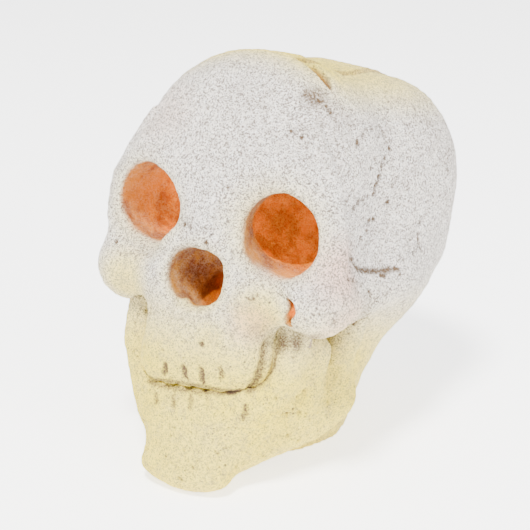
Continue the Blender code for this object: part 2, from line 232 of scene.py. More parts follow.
def face(place, side):
    """Brow, cheeks, nose bridge and upper gum, down to the tooth line."""
    brow_route = [(0, 6, 12), (20, 4, 22), (38, 8, 24), (50, 12, 8), (53, 14, -10), (51, 16, -28)]
    shape = limb(place, brow_route, [10, 9, 9, 9, 9, 10])
    shape = blend(shape, ellipsoid(place, (50, 20, -33), (13.5, 17, 16)), 8)
    cheek_arch = [(52, 22, -34), (59, 50, -32), (62, 78, -26), (58, 98, -20)]
    shape = blend(shape, limb(place, cheek_arch, [12, 9, 8, 8]), 10)
    shape = blend(shape, ellipsoid(place, (36, 44, -14), (24, 34, 34)), 14)
    nose_bridge = [(0, 6, 4), (0, 3, -8), (0, 2, -14)]
    shape = blend(shape, limb(place, nose_bridge, [10, 9, 9]), 12)
    socket_floor = [(17, 4, -16), (20, 4, -30), (36, 8, -34), (50, 12, -32)]
    shape = blend(shape, limb(place, socket_floor, [9, 9, 9, 10]), 10)
    shape = blend(shape, ellipsoid(place, (0, 24, -52), (33.5, 30, 34), power=3), 9)
    row = tilted(place, side)
    gum = [(0, 6, -68), (14, 7, -68), (22, 13, -68), (23, 34, -68)]
    shape = blend(shape, limb(row, gum, [11.5, 11.5, 11.5, 11]), 8)
    return np.maximum(shape, MOUTH_TOP - MOUTH_LIP - row[2])


def hollow(place):
    """The inside of the braincase, open through the neck."""
    return blend(braincase(place) + WALL, neck(place, inset=WALL), 10)


def sockets_and_nose(place, side):
    """The eye sockets, the skull's left one lower and narrower than the right, and the nose."""
    left = ellipsoid(place, *LEFT_SOCKET, yaw=SOCKET_YAW)
    right = ellipsoid(place, *RIGHT_SOCKET, yaw=SOCKET_YAW)
    whole = (side, place[1], place[2])
    nose = ellipsoid(whole, *NOSE, power=2.4)
    passage = limb(whole, [(-0.5, 10, -36.5), (0, 62, -44)], [8.2, 12])
    return np.minimum(np.where(side > 0.0, left, right), blend(nose, passage, 4))


def coronal_line(x):
    """Where the joint across the crown lies, front to back, at a distance from the middle."""
    return CORONAL_Y + CORONAL_BOW * np.maximum(0.0, 1.0 - (x / CORONAL_HALF_BOW) ** 2)


def crown_line(y):
    """Where the joint along the crown lies, left of the middle, at a distance back."""
    return CROWN_JOINT_X + CROWN_JOINT_SLANT * (y - CROWN_JOINT_START)


def under_ground(place):
    """How far a place lies under the ground on which the leant head stands."""
    height = math.cos(LEAN_BACK) * place[2] - math.sin(LEAN_BACK) * place[1]
    return GROUND_LEVEL - height


def eased(value, low, high):
    """0 below low, 1 above high, and smooth between them."""
    part = np.clip((value - low) / (high - low), 0.0, 1.0)
    return part * part * (3.0 - 2.0 * part)


# --- Cast details ---

# Routes of the larger details
ARCH_CREASE = [(58.7, 31.5, -12.6), (59.4, 39.4, -18), (60.3, 47.8, -19.8), (62.1, 55.3, -20.1),
               (67, 68, -19.6)]
CHEEK_UNDERCUT = [(36, 1, -53), (46, 3, -52.5), (57, 7, -51), (66, 19, -49), (69, 38, -43),
                  (71, 65, -39), (72, 92, -35)]
BUCCAL_CREASE = [(33.5, 8, -54.5), (33.2, 6.7, -62.4), (31.9, 5.3, -71.3), (28.5, 4.8, -77)]
TEMPLE_RIDGE = [(43, 13, 42), (48, 13, 31), (54, 14, 21), (58, 12, 10), (60, 14, -3), (60, 17, -14)]
CHEEK_SLIT = [(44.2, 0, -30.5), (46.8, 0, -33.5), (47.0, 0, -36.5), (44.8, 0, -39.5),
              (43.8, 0, -42.0), (45.0, 0, -44.0)]
BRANCH_TOP = [(31, 7, -55), (38, 7, -55), (46, 7.5, -54.5), (54, 10, -53.5), (60, 16, -51.5)]
FAR_CHEEK_PIT = [(-27.5, -1, -49), (-30.5, -1, -52)]
NOSE_SPINE = [(-6, -4, -45), (-5.5, -2, -41.5)]
SLIT_CHANNEL = [(45, 9, -37), (42, 17, -18)]
MOUTH_CORNER = [(20, 1, -78.6), (23, 3, -78.4), (26.5, 4.5, -77.9)]
MOUTH_LINE = [(-24, 0, -82.4), (-14, -4, -81.4), (-4, -5, -80.4), (6, -5, -79.4), (16, -4, -78.4),
              (22, 0, -78)]

# Routes of creases, moved to the nearest place on the skin, with radius, depth and share of brown
# painted shade
CREASES = (
    (ARCH_CREASE, 1.5, 1.4, 1.0),
    (BUCCAL_CREASE, 2.8, 1.8, 0.8),
    ([(28.9, 3.1, -83.3), (27.6, 3.1, -89.7)], 1.8, 0.9, 0.75),
    (MOUTH_CORNER, 2.4, 0.2, 1.3),
    (MOUTH_LINE, 1.9, 0.15, 0.7),
    # Between the upper teeth, then between the lower ones
    ([(-10.9, -4.6, -70.5), (-11.3, -5.2, -73.5), (-11.8, -4.7, -76.5)], 1.5, 1.3, 1.05),
    ([(-0.7, -4.6, -69.5), (0, -4.6, -72.4), (0.6, -5, -75.5)], 1.7, 1.4, 1.05),
    ([(8.3, -4.4, -69), (8.8, -4.6, -72), (9.1, -4.7, -75.5)], 1.7, 1.4, 1.05),
    ([(18.1, -5, -66.5), (18.3, -4.4, -72)], 1.4, 1.0, 0.85),
    ([(-15.8, -2.3, -87), (-14.8, -3.6, -91)], 1.7, 0.9, 0.65),
    ([(-6, -2.7, -85.5), (-4.6, -4.3, -90)], 1.7, 0.9, 0.65),
    ([(3, -2, -84.5), (4.3, -3.4, -89)], 1.7, 0.9, 0.65),
    ([(11, 0, -83), (12.5, -1, -87)], 1.5, 0.8, 0.4),
    # Chips and scratches on cheek, temple, braincase and crown
    ([(62.6, 20.2, -20.1), (62.6, 24, -21.4)], 1.1, 1.4, 1.2),
    ([(63.1, 56.5, -22.3), (64.8, 59, -22.6)], 1.1, 1.3, 1.2),
    ([(62.6, 42, -41.8), (64.8, 46.2, -38.9)], 1.2, 1.6, 1.3),
    ([(68.4, 83.4, -3), (68.4, 85.1, -7.9), (69.2, 88.7, -11.8)], 1.0, 1.0, 0.9),
    ([(67.7, 109.7, 38), (70, 104.6, 32), (70.3, 105.2, 26)], 0.9, 0.7, 0.7),
    ([(26.5, -4.7, -33.5), (28.5, -4, -34.2), (30.2, -3.4, -33.2), (31.4, -2.9, -31)], 1.0, 0.8, 0.8),
    ([(0.1, 35.5, 74.8), (11.5, 35.4, 73.7), (19, 36.5, 72)], 1.1, 0.5, 0.45),
)
# Routes of rows of pits, with their spacing
PIT_STRINGS = (
    ([(53, 60, 47), (55.9, 63, 37), (58, 55, 29), (58.3, 50.6, 19), (57.6, 45.5, 15.5),
      (57, 35, 12)], 2.0),
    ([(54, 33, 40), (52, 45, 46), (53, 60, 47)], 4.2),
    ([(58.4, 52.4, 5.5), (58, 46, 0), (57.9, 41.8, -4.3), (58, 38.4, -8.2)], 2.8),
    (ARCH_CREASE, 3.0),
    ([(34, 19, 58), (38, 21, 56.5), (44, 24, 52)], 1.8),
    ([(62, 30, -22), (63, 42, -28), (62, 50, -38)], 4.0),
)
SCATTERED_PITS = 420
CREASE_STEP = 0.7  # between the dents that make up a crease
DENT_SEED = 7
DENTED_SKIN = 2.5  # dents are centred no deeper than this below the smooth skin
DENTED_DEPTH = 6.0  # and move nothing deeper than this
# Place, radius and depth of the pits that stand alone
NAMED_PITS = (
    ((-10.4, -3.8, -6.5), 1.4, 1.3),
    ((-5.9, -4.9, -7.5), 1.2, 1.1),
    ((4.1, -6.4, -12.2), 1.3, 1.2),
    ((-50.7, 3.3, -21.0), 1.4, 1.3),
    ((6.9, -5.2, -58.2), 1.5, 1.3),
    ((54.2, 32.9, 39.6), 1.5, 1.2),
    ((57.4, 44.3, 28.4), 1.3, 1.1),
    ((60.3, 60.7, 12.4), 1.4, 1.1),
    ((56.9, 32.3, 10.4), 1.4, 1.2),
    ((44, 24, 51.8), 1.3, 1.1),
    ((38, 22, 56.4), 1.8, 1.2),
    ((31, 12, 40), 1.2, 1.0),
    ((36, 12, 38), 1.2, 1.0),
)
GRIT = ((24.0, 0.5), (9.0, 0.3), (3.4, 0.2), (1.7, 0.2))  # cell and height
# Place, reach, cell and height of rougher patches
ROUGH_SPOTS = (
    ((60, 50, 22), 34, 2.4, 0.3),
    ((37, 21, 57), 12, 2.2, 0.4),
    ((64, 50, -20), 18, 2.2, 0.3),
)

HOLLOW_ROUNDS = 16  # of averaging, before hollows are told from the smoothed surface
# Place, reach and strength of the coloured patches: painted shade, then painted cream firelight glow,
# then painted rose firelight glow
PAINTED_SHADE_PATCHES = (
    ((36, 21, 57), 12, 0.7),
    ((45, 26, 48), 18, 0.35),
    ((-32, 4, -52), 7, 0.85),
    ((30, 4, -50), 12, 0.42),
    ((38, 9, -53), 9, 1.0),
    ((47, 10, -52), 9, 0.95),
    ((55, 12, -51), 9, 0.85),
    ((64, 40, -40), 14, 0.4),
    ((36, -2, -44), 9, 0.25),
    ((6, -6, -66), 14, 0.16),
)
# Painted cream firelight glow round the sockets, the nose and the lower face
PAINTED_GLOW_SPOTS = (
    ((34.5, 0, -3), 34, 0.65),
    ((-34.5, 0, -3), 34, 0.6),
    ((0, -5, -32), 28, 0.75),
    ((32, 0, -42), 26, 0.85),
    ((10, -6, -60), 26, 0.85),
    ((-42, 4, -38), 26, 0.8),
)
# Painted rose firelight glow in patches on temple, cheeks and braincase
PAINTED_ROSE_GLOW_SPOTS = (
    ((62, 16, -18), 26, 0.7),
    ((60, 22, -36), 22, 0.5),
    ((-30, 8, 40), 24, 0.25),
    ((28, 0, -45), 16, 0.55),
)


def cast_skin(place, side):
    """The outside of the upper head, before it is hollowed."""
    shape = blend(blend(braincase(place), neck(place), 16), face(place, side), 9)
    behind = place[1] - coronal_line(place[0])
    left_of_crown = side - crown_line(place[1])
    top = eased(place[2], 25.0, 55.0)
    near_joint = np.exp(-np.maximum(behind, 0.0) / 20.0) * (behind > 0.0)
    near_middle = eased(side, -20.0, 10.0) * (1.0 - eased(side, 16.0, 24.0))
    by_crack = eased(side, 18.0, 26.0) * (1.0 - eased(side, 36.0, 46.0))
    shape += top * near_joint * (REAR_SINKS * near_middle - REAR_RISES * by_crack)
    beside = np.exp(-np.maximum(left_of_crown, 0.0) / 18.0) * (left_of_crown > 0.0)
    along = (behind > 0.0) * (1.0 - eased(place[1], 95.0, 130.0))
    shape += LEFT_SINKS * top * beside * along
    temple = ellipsoid(place, (71.5, 42, 4), (12, 24, 36))
    return carve(shape, temple, 8)


def open_crack(place, side, skin):
    """The open stretch of the joint across the crown, just behind the edge of the face."""
    open_here = eased(side, 8.0, 28.0) * (1.0 - eased(side, 33.0, 41.0))
    behind = place[1] - coronal_line(place[0]) - CRACK_BEHIND
    across = np.abs(behind) - 0.1 - CRACK_HALF_WIDTH * open_here
    wedge = np.maximum(across, -skin - CRACK_DEPTH * open_here)
    return np.maximum(wedge, CRACK_FLOOR - place[2])


def tooth_bed(place, side):
    """The room round the mortar ribbon between the teeth."""
    in_plan = (place[0], place[1], np.zeros_like(side))
    arch = [(0, 6, 0), (16, 6, 0), (21.3, 8.2, 0), (23.5, 13.5, 0), (23.5, 32, 0)]
    ribbon = limb(in_plan, arch, [4.5 + GAP] * len(arch))
    height = tilted(place, side)[2] - 0.5 * (MOUTH_TOP + MOUTH_BOTTOM)
    return np.maximum(ribbon, np.abs(height) - 0.5 * (MOUTH_TOP - MOUTH_BOTTOM))


def add_details(shape, side, place):
    """The larger ridges, hollows and slits of the face."""
    whole = (side, place[1], place[2])
    ridge(shape, place, TEMPLE_RIDGE, [1.0, 2.4, 2.8, 2.8, 2.6, 1.6], 6)
    groove(shape, place, CHEEK_UNDERCUT, [3, 4, 5.5, 6, 5.5, 4.5, 3.5], 1.0)
    groove(shape, whole, FAR_CHEEK_PIT, [3.4, 2.2], 1.5)
    ridge(shape, whole, NOSE_SPINE, [4.0, 2.2], 3)
    near = near_route(whole, CHEEK_SLIT + [(42, 18, -18)], DETAIL_MARGIN)
    x, y, z = (value[near] for value in whole)
    flat = limb((x, np.zeros_like(y), z), CHEEK_SLIT, [0.5, 1.5, 1.7, 1.7, 1.5, 0.6])
    slit = np.maximum(flat, y - 10.0)
    channel = limb((x, y, z), SLIT_CHANNEL, [3.4, 3.8])
    shape[near] = carve(shape[near], np.minimum(slit, channel), 0.8)


def rods_and_dowels(place, side):
    """The channels of the two rods and the bores and pockets of the two dowels."""
    found = np.full(side.shape, FAR)
    whole = (side, place[1], place[2])
    for route in (CORONAL_ROD_ROUTE, CROWN_ROD_ROUTE):
        near = near_route(whole, route, DETAIL_MARGIN)
        local = tuple(value[near] for value in whole)
        found[near] = np.minimum(found[near], limb(local, route, [ROD_RADIUS + GAP] * len(route)))
    from_axis = np.hypot(place[0] - DOWEL_PLACE[0], place[1] - DOWEL_PLACE[1])
    for radius, (low, high) in ((DOWEL_RADIUS, DOWEL_ENDS), (SLEEVE_RADIUS, SLEEVE_ENDS)):
        middle, half = 0.5 * (low + high), 0.5 * (high - low) + GAP
        bore = np.maximum(from_axis - radius - GAP, np.abs(place[2] - middle) - half)
        found = np.minimum(found, bore)
    return found


def upper_head(place):
    """Everything but the lower jaw."""
    side = place[0]
    place = folded(place)
    skin = cast_skin(place, side)
    shape = carve(skin, hollow(place), 3)
    shape = carve(shape, sockets_and_nose(place, side), 4)
    shape = carve(shape, open_crack(place, side, skin), 0.5)
    add_details(shape, side, place)
    return np.maximum(shape, under_ground(place))


def jaw_solid(place, side):
    """Chin, jaw body, lower gum and upright branches, before they are fitted to the head."""
    row = tilted(place, side)
    body = limb(place, [(0, 8, -104), (12, 10, -104), (22, 22, -102), (36, 48, -94), (44, 60, -84)],
                [13, 13, 12, 12, 11])
    lower_edge = limb(place, [(0, 9, -115), (12, 11, -114), (22, 26, -106), (38, 50, -94)],
                      [12, 11, 10, 9])
    teeth_edge = limb(row, [(0, 6.5, -89), (13, 7.5, -89), (22, 15, -90), (29, 29, -88)],
                      [11, 11, 10.5, 10])
    lower_gum = limb(row, [(0, 6, -85), (13, 7, -85), (22, 13, -85), (25, 27, -85)],
                     [11, 11, 11, 10])
    shape = blend(blend(body, lower_edge, 8), blend(teeth_edge, lower_gum, 4), 8)
    shape = blend(shape, ellipsoid(place, (0, 3, -121), (23, 10, 9)), 8)
    shape = np.maximum(shape, row[2] - MOUTH_BOTTOM - MOUTH_LIP)
    front = limb(place, [(24, 16, -94), (31, 13, -82), (39, 17, -68), (41, 20, -48)], [9, 9, 9, 8])
    middle = limb(place, [(40, 34, -84), (43, 36, -60)], [9, 8])
    rear = limb(place, [(44, 54, -84), (47, 58, -60), (49, 66, -40)], [9, 8, 7])
    branch = blend(blend(front, rear, 20), middle, 10)
    return blend(shape, branch, 10)


def jaw(place):
    """The lower jaw, close against the castings it is bonded to."""
    upper = upper_head(place)
    side = place[0]
    place = folded(place)
    shape = np.maximum(jaw_solid(place, side), under_ground(place))
    groove(shape, place, BRANCH_TOP, [2.6, 4.2, 3.6, 3.0, 2.0], 2.5)
    return carve(shape, upper + JAW_BITE, 0.5)


def rod_route(ends, point_at):
    """Points at a rod's depth in the wall, one along each ray from point_at(angle, distance)."""
    route = []
    for angle in np.linspace(*ends, ROD_POINTS):
        inner, outer = 10.0, 130.0
        while outer - inner > 0.01:
            middle = 0.5 * (inner + outer)
            x, y, z = point_at(angle, middle)
            depth = braincase((np.array([abs(x)]), np.array([y]), np.array([z])))[0]
            if depth > -ROD_DEPTH:
                outer = middle
            else:
                inner = middle
        route.append(tuple(float(value) for value in point_at(angle, inner)))
    return route


def coronal_point(angle, distance):
    """A point on the joint across the crown."""
    x = distance * math.sin(angle)
    return (x, float(coronal_line(x)), CORONAL_ROD_HUB + distance * math.cos(angle))


def crown_point(angle, distance):
    """A point on the joint along the crown."""
    y = CROWN_ROD_HUB + distance * math.sin(angle)
    return (crown_line(y), y, distance * math.cos(angle))


CORONAL_ROD_ROUTE = rod_route(CORONAL_ROD_ENDS, coronal_point)
CROWN_ROD_ROUTE = rod_route(CROWN_ROD_ENDS, crown_point)


# --- Sampling ---


def fine_values(field):
    """The field on the fine grid: exact near the surface, and only its sign further away."""
    spans = [high - low for low, high in zip(LOW_CORNER, HIGH_CORNER)]
    coarse_step = COARSE * STEP
    counts = [int(span / coarse_step) for span in spans]
    middles = [low + coarse_step * (np.arange(count) + 0.5)
               for low, count in zip(LOW_CORNER, counts)]
    grid = np.meshgrid(*middles, indexing="ij")
    coarse = field(tuple(value.ravel() for value in grid)).reshape(counts)
    values = coarse.repeat(COARSE, 0).repeat(COARSE, 1).repeat(COARSE, 2).astype(np.float32)
    near = np.argwhere(np.abs(coarse) < COARSE_MARGIN * coarse_step)
    offsets = np.array(list(itertools.product(range(COARSE), repeat=3)))
    cells = (near[:, None, :] * COARSE + offsets[None]).reshape(-1, 3)
    places = np.array(LOW_CORNER) + STEP * (cells + 0.5)
    exact = field(tuple(places[:, axis] for axis in range(3)))
    values[cells[:, 0], cells[:, 1], cells[:, 2]] = exact
    return values


def skin_of(field):
    """The points, in millimetres, and four-cornered faces of a field's surface."""
    band = 3.0 * STEP
    grid = openvdb.FloatGrid(band)
    grid.copyFromArray(np.clip(fine_values(field), -band, band))
    points, quads = grid.convertToQuads(isovalue=0.0)
    return np.array(LOW_CORNER) + STEP * (points + 0.5), quads


def mesh_from(name, points, faces, marks):
    """A smooth-shaded mesh with the marks on its points."""
    mesh = bpy.data.meshes.new(name)
    mesh.from_pydata(points.tolist(), [], faces.tolist())
    mesh.shade_smooth()
    layer = mesh.color_attributes.new("marks", "FLOAT_COLOR", "POINT")
    layer.data.foreach_set("color", marks.ravel())
    return mesh


def normals_of(points, quads):
    """The mean normal at each point."""
    across = points[quads[:, 2]] - points[quads[:, 0]]
    along = points[quads[:, 3]] - points[quads[:, 1]]
    facing = np.cross(across, along)
    found = np.zeros_like(points)
    for corner in range(4):
        for axis in range(3):
            found[:, axis] += np.bincount(quads[:, corner], facing[:, axis], len(points))
    return found / np.maximum(np.linalg.norm(found, axis=1, keepdims=True), 1e-9)


def lattice_noise(points, cell, seed):
    """Smooth noise from -1 to 1, with one random value at each corner of a grid of cells."""
    table = np.random.default_rng(seed).uniform(-1.0, 1.0, (NOISE_CORNERS,) * 3)
    scaled = points / cell
    corner = np.floor(scaled).astype(int)
    part = scaled - corner
    part = part * part * (3.0 - 2.0 * part)
    total = np.zeros(len(points))
    for shift in itertools.product((0, 1), repeat=3):
        index = (corner + np.array(shift)) % NOISE_CORNERS
        weight = np.prod(np.where(shift, part, 1.0 - part), axis=1)
        total += weight * table[index[:, 0], index[:, 1], index[:, 2]]
    return total


def averaged(values, quads):
    """Each point's value, or values, made the mean of those at its neighbours."""
    count = len(values)
    corners = [quads[:, index] for index in range(4)]
    pairs = [(corners[index], corners[(index + step) % 4]) for index in range(4) for step in (1, 3)]
    total = np.zeros_like(values)
    number = np.zeros(count)
    for here, there in pairs:
        number += np.bincount(here, minlength=count)
        for axis in range(values.shape[1]):
            total[:, axis] += np.bincount(here, values[there, axis], count)
    return total / np.maximum(number, 1.0)[:, None]


def hollowness(points, quads, rounds):
    """How far each point lies, in millimetres, below a smoothed surface."""
    smooth = points
    for _ in range(rounds):
        smooth = averaged(smooth, quads)
    return np.sum((smooth - points) * normals_of(points, quads), axis=1)


def soft_spot(points, centre, reach):
    """1 at a place, fading to 0 at this distance from it."""
    away = np.linalg.norm(points - np.array(centre), axis=1)
    return 1.0 - eased(away, 0.15 * reach, reach)


def steps_along(route, spacing):
    """Places along a route, this far apart."""
    found = []
    for start, end in zip(route, route[1:]):
        start, end = np.array(start, float), np.array(end, float)
        count = max(1, int(np.linalg.norm(end - start) / spacing))
        found += [start + (end - start) * index / count for index in range(count)]
    return found + [np.array(route[-1], float)]


def dents(points, outer):
    """Place, radius, depth and share of painted brown shade of every dent that makes up a crease or a
    pit.
    """
    random = np.random.default_rng(DENT_SEED)

    def on_skin(place):
        return points[outer[np.argmin(np.sum((points[outer] - place) ** 2, axis=1))]]

    chosen = []
    for route, radius, depth, brown in CREASES:
        places = steps_along(route, CREASE_STEP)
        for index, place in enumerate(places):
            size = 0.75 + 0.25 * math.sin(math.pi * index / len(places))
            size *= random.uniform(0.85, 1.1)
            chosen.append((on_skin(place), size * radius, size * depth, brown))
    for route, spacing in PIT_STRINGS:
        for place in steps_along(route, spacing):
            radius = random.uniform(0.9, 1.5)
            middle = on_skin(place + random.normal(0.0, 0.8, 3))
            chosen.append((middle, radius, 0.9 * radius, random.uniform(0.8, 1.3)))
    for place, radius, depth in NAMED_PITS:
        chosen.append((on_skin(np.array(place, float)), radius, depth, 1.2))
    for index in random.choice(outer, SCATTERED_PITS, replace=False):
        radius = 0.6 + 0.6 * random.random() ** 3
        chosen.append((points[index], radius, radius, random.uniform(0.3, 0.9)))
    return chosen


def roughened(points, quads, skin_depth):
    """The points moved by the surface's waviness, grit and dents, and the share of painted brown
    shade that the dents give each one.
    """
    height = np.zeros(len(points))
    for seed, (cell, size) in enumerate(GRIT):
        height += size * lattice_noise(points, cell, seed)
    for centre, reach, cell, size in ROUGH_SPOTS:
        height += size * soft_spot(points, centre, reach) * lattice_noise(points, cell, len(GRIT))
    sunk = np.zeros(len(points))
    dent_shade = np.zeros(len(points))
    outer = np.flatnonzero(skin_depth < DENTED_SKIN)
    for centre, radius, depth, brown in dents(points, outer):
        near = near_route(tuple(points.T), [centre], 2.0 * radius)
        near = near[skin_depth[near] < DENTED_DEPTH]
        away = np.linalg.norm(points[near] - centre, axis=1)
        share = 1.0 - eased(away, 0.2 * radius, 1.5 * radius)
        sunk[near] = np.maximum(sunk[near], depth * share)
        # Painted shade in each dent, strongest at its middle
        dent_shade[near] = np.maximum(dent_shade[near], brown * share)
    return points + (height - sunk)[:, None] * normals_of(points, quads), dent_shade


def skin_marks(points, quads, dent_shade, skin_depth):
    """Four shares at each point: painted shade in hollows and dents with the dark lines of the
    crown's joints, painted cream firelight glow, painted rose firelight glow, and depth below the
    skin.
    """
    x, y, z = points.T
    # Brown: painted shade in hollows, dents and the patches, and the dark lines of both joints of the
    # crown
    creased = eased(hollowness(points, quads, HOLLOW_ROUNDS), 0.3, 1.6) * (skin_depth < 9.0)
    painted_shade_and_joints = np.maximum(0.5 * creased, dent_shade)
    along_crown = 1.0 - eased(np.abs(x - crown_line(y)), 0.5, 1.9)
    across_crown = (1.0 - eased(np.abs(y - coronal_line(x)), 0.5, 1.9)) * (x < 42.0)
    painted_shade_and_joints = np.maximum(painted_shade_and_joints, (0.3 + 0.2 * eased(z, 45.0, 62.0)) * along_crown * (y > 38.0))
    painted_shade_and_joints = np.maximum(painted_shade_and_joints, 0.5 * eased(z, 58.0, 68.0) * across_crown)
    for centre, reach, strength in PAINTED_SHADE_PATCHES:
        painted_shade_and_joints = np.maximum(painted_shade_and_joints, strength * soft_spot(points, centre, reach))
    # Painted cream firelight glow: behind the joint across the crown, then from the cheeks down,
    # fading towards the back
    painted_glow = 0.95 * eased(z, 46.0, 72.0) * eased(y, 10.0, 44.0)
    painted_glow = np.maximum(painted_glow, eased(-z, 18.0, 76.0)) * (1.0 - 0.4 * eased(y, 70.0, 140.0))
    for centre, reach, strength in PAINTED_GLOW_SPOTS:
        painted_glow = np.maximum(painted_glow, strength * soft_spot(points, centre, reach))
    # Painted rose firelight glow
    painted_rose_glow = np.zeros(len(points))
    for centre, reach, strength in PAINTED_ROSE_GLOW_SPOTS:
        painted_rose_glow = np.maximum(painted_rose_glow, strength * soft_spot(points, centre, reach))
    # Depth below the skin, which carries the painted firelight glow inside the openings
    depth = eased(skin_depth, 1.0, 4.2)
    return np.stack([painted_shade_and_joints, painted_glow, painted_rose_glow, depth], axis=1)


def depth_below_skin(points):
    """How deep each point lies under the outside of head and jaw."""
    side = points[:, 0]
    place = folded(points.T)
    return -np.minimum(cast_skin(place, side), jaw_solid(place, side))


def casting_surface(shape_at):
    """Rough points, faces and marks of a shape, with the beds and bores for mortar and steel."""

    def bored(place):
        side = place[0]
        mirrored = folded(place)
        shape = carve(shape_at(place), tooth_bed(mirrored, side), EDGE)
        return carve(shape, rods_and_dowels(mirrored, side), EDGE)

    points, quads = skin_of(bored)
    skin_depth = depth_below_skin(points)
    rough, dent_shade = roughened(points, quads, skin_depth)
    return rough, quads, skin_marks(points, quads, dent_shade, skin_depth)


# --- Placing and cutting ---


def head_frame():
    """The head's own frame in the model's, found from the left dowel."""
    low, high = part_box("left_jaw_dowel")
    turn = Matrix.Rotation(-LEAN_BACK, 3, "X")
    middle = Vector((*DOWEL_PLACE, 0.5 * sum(DOWEL_ENDS))) * MM
    return turn, (low + high) / 2 - turn @ middle


def sheared(mesh, sign):
    """Straightens the bowed joint across the crown for a plane cut, or bows it back."""
    points = np.empty(len(mesh.vertices) * 3)
    mesh.vertices.foreach_get("co", points)
    points = points.reshape(-1, 3)
    points[:, 1] += sign * coronal_line(points[:, 0])
    mesh.vertices.foreach_set("co", points.ravel())


def cut(mesh, place, direction):
    """Keeps what lies behind a plane, and closes the cut."""
    shape = bmesh.new()
    shape.from_mesh(mesh)
    everything = list(shape.verts) + list(shape.edges) + list(shape.faces)
    found = bmesh.ops.bisect_plane(
        shape, geom=everything, dist=1e-5, plane_co=place, plane_no=direction, clear_outer=True)
    rim = [item for item in found["geom_cut"] if isinstance(item, bmesh.types.BMEdge)]
    filled = bmesh.ops.triangle_fill(shape, edges=rim, use_beauty=True, normal=direction)
    for item in filled["geom"]:
        if isinstance(item, bmesh.types.BMFace):
            item.smooth = False
    for edge in rim:
        if edge.is_valid:
            edge.smooth = False
    shape.to_mesh(mesh)
    shape.free()


def in_throat(place):
    """Whether a place is in the joint under the braincase, in front of the neck's opening."""
    return place.y < THROAT_BACK and place.z < THROAT_TOP


def keep_islands(mesh, wanted):
    """Keeps the connected parts whose middle is wanted."""
    shape = bmesh.new()
    shape.from_mesh(mesh)
    waiting = set(shape.verts)
    unwanted = []
    while waiting:
        island = [waiting.pop()]
        for vertex in island:
            for edge in vertex.link_edges:
                other = edge.other_vert(vertex)
                if other in waiting:
                    waiting.remove(other)
                    island.append(other)
        if not wanted(sum((vertex.co for vertex in island), Vector()) / len(island)):
            unwanted += island
    bmesh.ops.delete(shape, geom=unwanted, context="VERTS")
    shape.to_mesh(mesh)
    shape.free()


def split_upper(points, quads, marks):
    """The three upper castings and the three mortars between them, in the head's frame."""
    sunk = points - MORTAR_SINK * normals_of(points, quads)
    front = mesh_from("face_casting", points, quads, marks)
    rear = mesh_from("rear", points, quads, marks)
    across = mesh_from("coronal_mortar", sunk, quads, marks)
    along = mesh_from("sunk_rear", sunk, quads, marks)
    filling = HALF_JOINT - SEAM
    backwards = Vector((0, 1, 0))
    for mesh in (front, rear, across, along):
        sheared(mesh, -1)
    cut(front, -HALF_JOINT * backwards, backwards)
    cut(rear, HALF_JOINT * backwards, -backwards)
    cut(across, filling * backwards, backwards)
    cut(across, -filling * backwards, -backwards)
    cut(along, HALF_JOINT * backwards, -backwards)
    for mesh in (front, rear, across, along):
        sheared(mesh, 1)
    right = rear.copy()
    middle = Vector((crown_line(0.0), 0.0, 0.0))
    leftwards = Vector((1.0, -CROWN_JOINT_SLANT, 0.0)).normalized()
    cut(rear, middle + HALF_JOINT * leftwards, -leftwards)
    cut(right, middle - HALF_JOINT * leftwards, leftwards)
    cut(along, middle - filling * leftwards, -leftwards)
    cut(along, middle + filling * leftwards, leftwards)
    throat = along.copy()
    keep_islands(throat, in_throat)
    keep_islands(along, lambda place: not in_throat(place))
    castings = {"face_casting": front, "left_rear_casting": rear, "right_rear_casting": right}
    mortars = {"coronal_mortar": across, "crown_mortar": along, "throat_mortar": throat}
    return castings, mortars


def add_piece(name, mesh, node, surface):
    """Puts a mesh from the head's frame in place, for a CAD node."""
    turn, origin = head_frame()
    mesh.transform(Matrix.Translation(origin) @ (turn * MM).to_4x4())
    mesh.materials.clear()
    mesh.materials.append(surface)
    piece = bpy.data.objects.new(name, mesh)
    bpy.context.scene.collection.objects.link(piece)
    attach(piece, BODY)
    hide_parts(node)


# --- Stage ---


def add_camera():
    """The camera that the skull is seen from: left of the middle and a little above."""
    lens = bpy.data.cameras.new("camera")
    lens.lens = CAMERA_LENS
    lens.sensor_width = CAMERA_SENSOR
    lens.clip_end = 20.0
    camera = bpy.data.objects.new("camera", lens)
    camera.location = CAMERA_PLACE
    camera.rotation_euler = (0.5 * math.pi - CAMERA_ELEVATION, 0.0, CAMERA_AZIMUTH)
    bpy.context.scene.collection.objects.link(camera)
    bpy.context.scene.camera = camera


def add_light(name, kind, place, power, colour):
    """A lamp of this kind, with its object."""
    lamp = bpy.data.lights.new(name, kind)
    lamp.energy = power
    lamp.color = colour
    light = bpy.data.objects.new(name, lamp)
    light.location = place
    bpy.context.scene.collection.objects.link(light)
    return lamp, light


def add_studio():
    """Soft light from all round, and a key and a fill light."""
    world = bpy.data.worlds.new("studio")
    world.use_nodes = True
    backdrop = world.node_tree.nodes["Background"]
    backdrop.inputs["Color"].default_value = WHITE
    backdrop.inputs["Strength"].default_value = SURROUNDINGS
    bpy.context.scene.world = world
    for name, place, size, power, colour in STUDIO_LIGHTS:
        lamp, light = add_light(name, "AREA", place, power, colour)
        lamp.shape = "DISK"
        lamp.size = size
        towards = Vector(LIGHTS_AIM) - Vector(place)
        light.rotation_euler = towards.to_track_quat("-Z", "Y").to_euler()


def add_burner_glow():
    """Small warm lamps in the hollow and behind the openings."""
    turn, origin = head_frame()
    for name, place, power in WARM_LIGHTS:
        middle = origin + turn @ (Vector(place) * MM)
        lamp, light = add_light(name, "POINT", middle, power, WARM_GLOW)
        lamp.shadow_soft_size = WARM_LAMP_RADIUS * MM
        light.visible_camera = False


